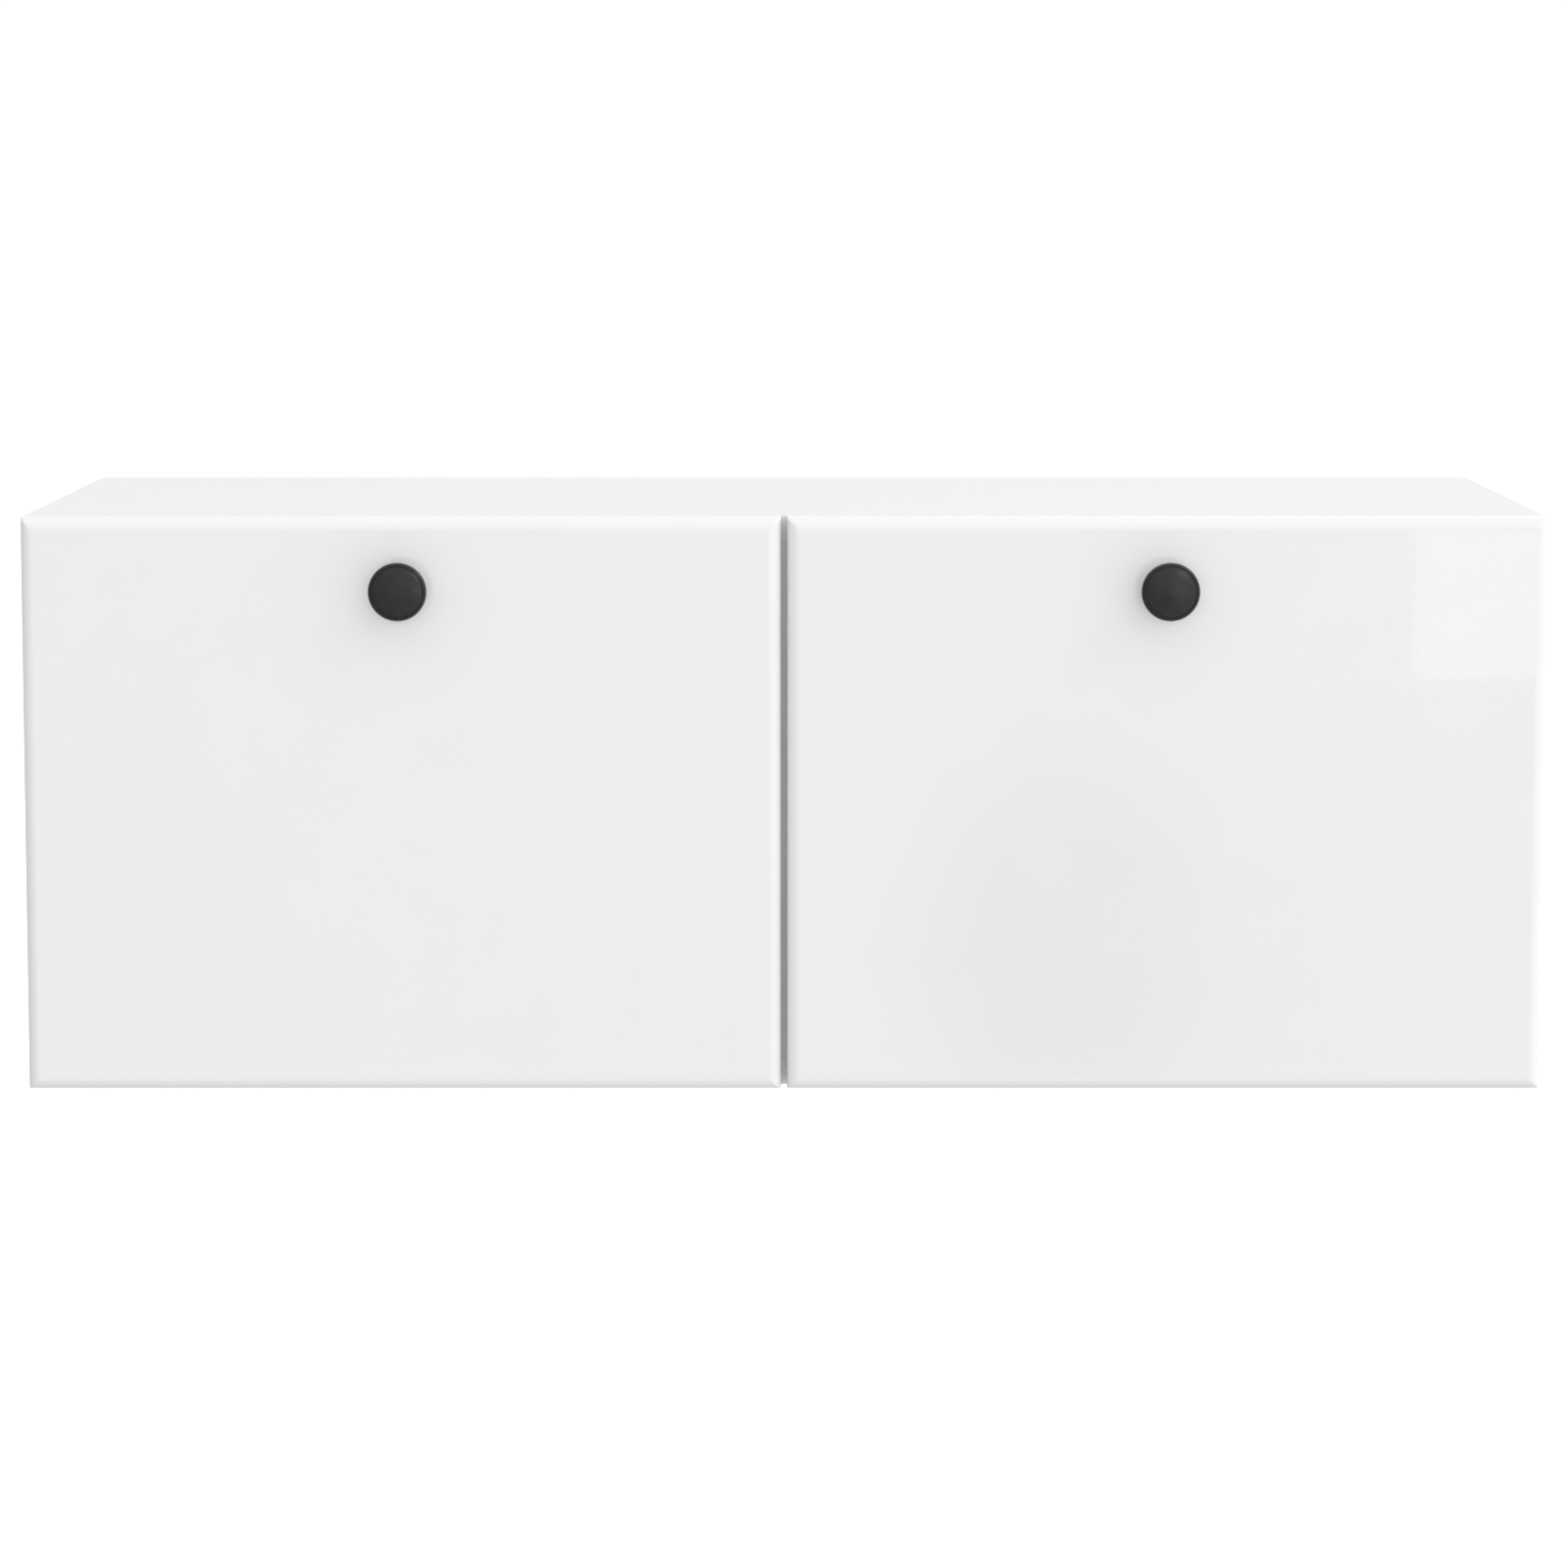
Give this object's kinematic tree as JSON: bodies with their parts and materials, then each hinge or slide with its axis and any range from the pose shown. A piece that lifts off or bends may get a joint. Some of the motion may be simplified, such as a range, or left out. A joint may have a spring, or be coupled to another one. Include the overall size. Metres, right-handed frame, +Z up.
{
  "type": "hanging wall cabinet",
  "caption": "Low, wide hanging wall cabinet in gloss white with side-by-side bays, each closed by a bottom-hinged drop-down flap with a round black knob.",
  "frame": {"origin": "on the wall plane at the middle of the back: the centre of the centre partition's rear edge", "axes": "+X along the width to the viewer's right, +Y into the wall, +Z up; the flaps face -Y"},
  "size_m": [1, 0.377, 0.38],
  "materials": {
    "white_board": "melamine faced board, satin white",
    "gloss_flap": "lacquered board, high gloss white",
    "white_hardboard": "white faced hardboard, matt",
    "black_knob": "satin black",
    "nickel": "nickel plated",
    "zinc_steel": "zinc plated",
    "white_plastic": "matt",
    "grey_plastic": "matt",
    "clear_silicone": "soft, translucent"
  },
  "bodies": {
    "carcass": {"top_panel": "white_board", "bottom_panel": "white_board", "centre_partition": "white_board", "left_side_panel": "white_board", "left_back_panel": "white_hardboard", "left_hanger_housing": "white_plastic", "left_hanger_hook": "zinc_steel", "left_wall_plate": "zinc_steel", "left_outer_hinge_arm": "nickel", "left_inner_hinge_arm": "nickel", "left_outer_hinge_seat": "nickel", "left_inner_hinge_seat": "nickel", "left_magnet_catch": "white_plastic", "left_stay_housing": "grey_plastic", "right_side_panel": "white_board", "right_back_panel": "white_hardboard", "right_hanger_housing": "white_plastic", "right_hanger_hook": "zinc_steel", "right_wall_plate": "zinc_steel", "right_outer_hinge_arm": "nickel", "right_inner_hinge_arm": "nickel", "right_outer_hinge_seat": "nickel", "right_inner_hinge_seat": "nickel", "right_magnet_catch": "white_plastic", "right_stay_housing": "grey_plastic"},
    "left_flap": {"left_flap_panel": "gloss_flap", "left_knob": "black_knob", "left_knob_screw": "zinc_steel", "left_outer_hinge_cup": "nickel", "left_inner_hinge_cup": "nickel", "left_outer_hinge_pin": "nickel", "left_inner_hinge_pin": "nickel", "left_strike_plate": "zinc_steel", "left_outer_bumper": "clear_silicone", "left_inner_bumper": "clear_silicone", "left_stay_bracket": "nickel"},
    "left_stay_arm": {"left_stay_arm": "nickel", "left_stay_rivet": "zinc_steel"},
    "left_stay_link": {"left_stay_link": "nickel"},
    "right_flap": {"right_flap_panel": "gloss_flap", "right_knob": "black_knob", "right_knob_screw": "zinc_steel", "right_outer_hinge_cup": "nickel", "right_inner_hinge_cup": "nickel", "right_outer_hinge_pin": "nickel", "right_inner_hinge_pin": "nickel", "right_strike_plate": "zinc_steel", "right_outer_bumper": "clear_silicone", "right_inner_bumper": "clear_silicone", "right_stay_bracket": "nickel"},
    "right_stay_arm": {"right_stay_arm": "nickel", "right_stay_rivet": "zinc_steel"},
    "right_stay_link": {"right_stay_link": "nickel"}
  },
  "joints": [
    {"name": "left_flap_hinge", "type": "hinge", "parent": "carcass", "child": "left_flap", "pos_m": [-0.2509, -0.3415, -0.183], "axis": [1, 0, 0], "range_deg": [0, 90]},
    {"name": "left_stay_arm_pivot", "type": "hinge", "parent": "carcass", "child": "left_stay_arm", "pos_m": [-0.466, -0.2315, -0.123], "axis": [1, 0, 0], "range_deg": [0, 90]},
    {"name": "left_stay_link_pivot", "type": "hinge", "parent": "left_flap", "child": "left_stay_link", "pos_m": [-0.4625, -0.32, -0.033], "axis": [1, 0, 0], "range_deg": [-90, 0]},
    {"name": "right_flap_hinge", "type": "hinge", "parent": "carcass", "child": "right_flap", "pos_m": [0.2509, -0.3415, -0.183], "axis": [1, 0, 0], "range_deg": [0, 90]},
    {"name": "right_stay_arm_pivot", "type": "hinge", "parent": "carcass", "child": "right_stay_arm", "pos_m": [0.466, -0.2315, -0.123], "axis": [1, 0, 0], "range_deg": [0, 90]},
    {"name": "right_stay_link_pivot", "type": "hinge", "parent": "right_flap", "child": "right_stay_link", "pos_m": [0.4625, -0.32, -0.033], "axis": [1, 0, 0], "range_deg": [-90, 0]}
  ],
  "couplings": [
    {"joint": "left_stay_arm_pivot", "follows": "left_flap_hinge", "ratio": 1},
    {"joint": "left_stay_link_pivot", "follows": "left_flap_hinge", "ratio": -1},
    {"joint": "right_stay_arm_pivot", "follows": "right_flap_hinge", "ratio": 1},
    {"joint": "right_stay_link_pivot", "follows": "right_flap_hinge", "ratio": -1}
  ]
}
